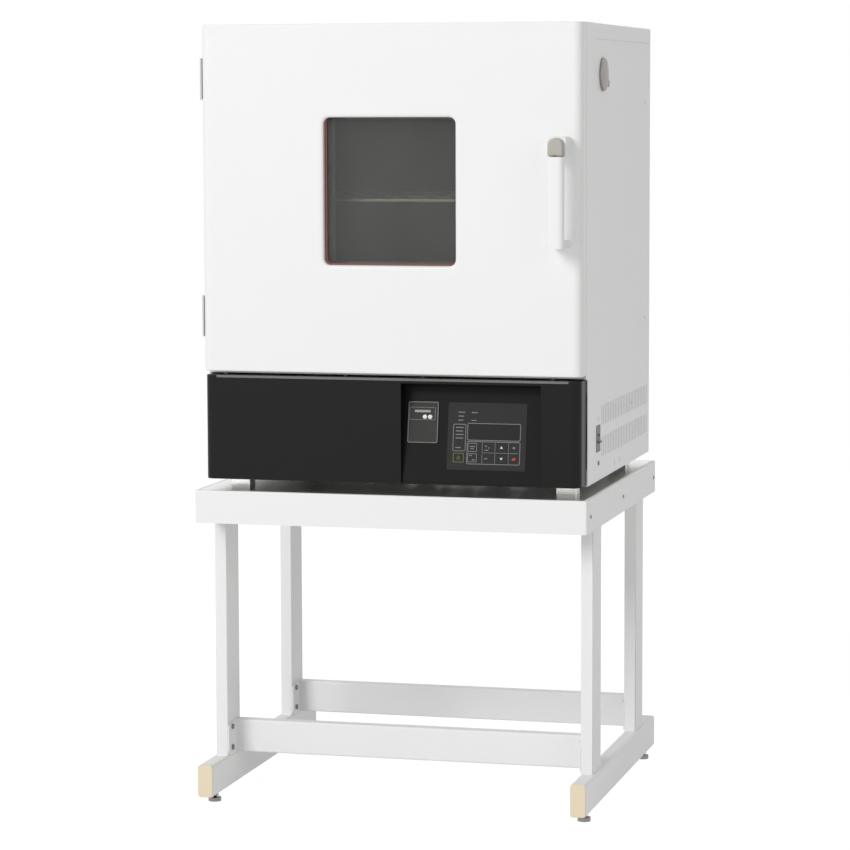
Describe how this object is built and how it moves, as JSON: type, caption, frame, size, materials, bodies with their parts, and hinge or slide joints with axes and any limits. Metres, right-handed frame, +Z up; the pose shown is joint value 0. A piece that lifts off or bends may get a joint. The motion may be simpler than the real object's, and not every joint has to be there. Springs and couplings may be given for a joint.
{
  "type": "laboratory drying oven",
  "caption": "White laboratory drying oven on an open stand, with a windowed door hinged at its left, an upright grip with a thumb button and a black control front.",
  "frame": {"origin": "on the floor, under the middle of the whole object's width and depth", "axes": "+Z up, -Y towards the front with the door, +X towards the right side with the air outlet"},
  "size_m": [0.739, 0.732, 1.442],
  "materials": {
    "white_paint": "satin",
    "black_paint": "satin",
    "galvanised_sheet": "dull",
    "stainless": "satin",
    "mirror_steel": "polished",
    "bright_metal": "plated",
    "mineral_wool": "fibrous",
    "silicone": "matte",
    "glass": "clear",
    "keypad_film": "matte",
    "black_plastic": "matte",
    "white_plastic": "gloss",
    "grey_plastic": "matte",
    "beige_plastic": "matte",
    "circuit_board": "matte"
  },
  "bodies": {
    "base": {"base_pan": "galvanised_sheet", "breaker_body": "black_plastic", "cable_gland": "black_plastic", "case_screws": "bright_metal", "chamber": "stainless", "chamber_insulation": "mineral_wool", "chamber_sensors": "stainless", "control_board": "circuit_board", "cross_rails": "white_paint", "deck_plate": "galvanised_sheet", "exhaust_seat": "stainless", "fascia_shell": "black_paint", "floor_plate": "stainless", "front_frame": "stainless", "heaters": "stainless", "hinge_lower_halves": "bright_metal", "keypad_panel": "keypad_film", "latch_keeper": "galvanised_sheet", "levelling_feet": "bright_metal", "oven_feet": "bright_metal", "power_board": "circuit_board", "protector_body": "black_plastic", "protector_plate": "black_plastic", "rail_end_caps": "beige_plastic", "rear_panel": "galvanised_sheet", "recess_pan": "black_paint", "shelf_lower": "stainless", "shelf_racks": "stainless", "shelf_upper": "stainless", "side_panel_left": "white_paint", "side_panel_right": "white_paint", "stand_apron": "white_paint", "stand_frame": "white_paint", "stand_screws": "bright_metal", "stand_side_left": "white_paint", "stand_side_right": "white_paint", "stand_top": "mirror_steel", "top_cover": "white_paint"},
    "door": {"door_skin": "white_paint", "door_inner_panel": "stainless", "door_insulation": "mineral_wool", "window_frame": "galvanised_sheet", "window_gasket": "silicone", "window_panes": "glass", "door_gasket": "silicone", "handle": "white_paint", "door_screws": "bright_metal", "latch_bracket": "galvanised_sheet", "hinge_upper_halves": "bright_metal"},
    "button": {"thumb_button": "grey_plastic"},
    "latch": {"latch_lever": "stainless"},
    "damper": {"damper_cap": "stainless"},
    "breaker": {"breaker_lever": "black_plastic"},
    "set_button_left_body": {"set_button_left": "white_plastic"},
    "set_button_right_body": {"set_button_right": "white_plastic"},
    "key_power_body": {"key_power": "keypad_film"},
    "key_menu_body": {"key_menu": "keypad_film"},
    "key_back_body": {"key_back": "keypad_film"},
    "key_up_body": {"key_up": "keypad_film"},
    "key_down_body": {"key_down": "keypad_film"}
  },
  "joints": [
    {"name": "door_swing", "type": "hinge", "parent": "base", "child": "door", "pos_m": [-0.3615, -0.269, 1.127], "axis": [0, 0, -1], "range_deg": [0, 150]},
    {"name": "thumb_press", "type": "slide", "parent": "door", "child": "button", "axis": [0, 1, 0], "range_m": [0, 0.004], "stiffness_N_per_m": 1500},
    {"name": "latch_turn", "type": "hinge", "parent": "door", "child": "latch", "pos_m": [0.333, -0.286, 1.221], "axis": [0, 0, -1], "range_deg": [0, 11.5]},
    {"name": "damper_turn", "type": "hinge", "parent": "base", "child": "damper", "pos_m": [0.358, -0.1265, 1.35], "axis": [1, 0, 0], "range_deg": [0, 60]},
    {"name": "breaker_throw", "type": "hinge", "parent": "base", "child": "breaker", "pos_m": [0.349, -0.16, 0.6875], "axis": [0, -1, 0], "range_deg": [0, 60]},
    {"name": "press_set_left", "type": "slide", "parent": "base", "child": "set_button_left_body", "axis": [0, 0.9867, -0.1624], "range_m": [0, 0.0008], "stiffness_N_per_m": 1500},
    {"name": "press_set_right", "type": "slide", "parent": "base", "child": "set_button_right_body", "axis": [0, 0.9867, -0.1624], "range_m": [0, 0.0008], "stiffness_N_per_m": 1500},
    {"name": "press_key_power", "type": "slide", "parent": "base", "child": "key_power_body", "axis": [0, 0.9867, -0.1624], "range_m": [0, 0.0004], "stiffness_N_per_m": 2500},
    {"name": "press_key_menu", "type": "slide", "parent": "base", "child": "key_menu_body", "axis": [0, 0.9867, -0.1624], "range_m": [0, 0.0004], "stiffness_N_per_m": 2500},
    {"name": "press_key_back", "type": "slide", "parent": "base", "child": "key_back_body", "axis": [0, 0.9867, -0.1624], "range_m": [0, 0.0004], "stiffness_N_per_m": 2500},
    {"name": "press_key_up", "type": "slide", "parent": "base", "child": "key_up_body", "axis": [0, 0.9867, -0.1624], "range_m": [0, 0.0004], "stiffness_N_per_m": 2500},
    {"name": "press_key_down", "type": "slide", "parent": "base", "child": "key_down_body", "axis": [0, 0.9867, -0.1624], "range_m": [0, 0.0004], "stiffness_N_per_m": 2500}
  ],
  "couplings": [
    {"joint": "latch_turn", "follows": "thumb_press", "rad_per_m": 50}
  ]
}
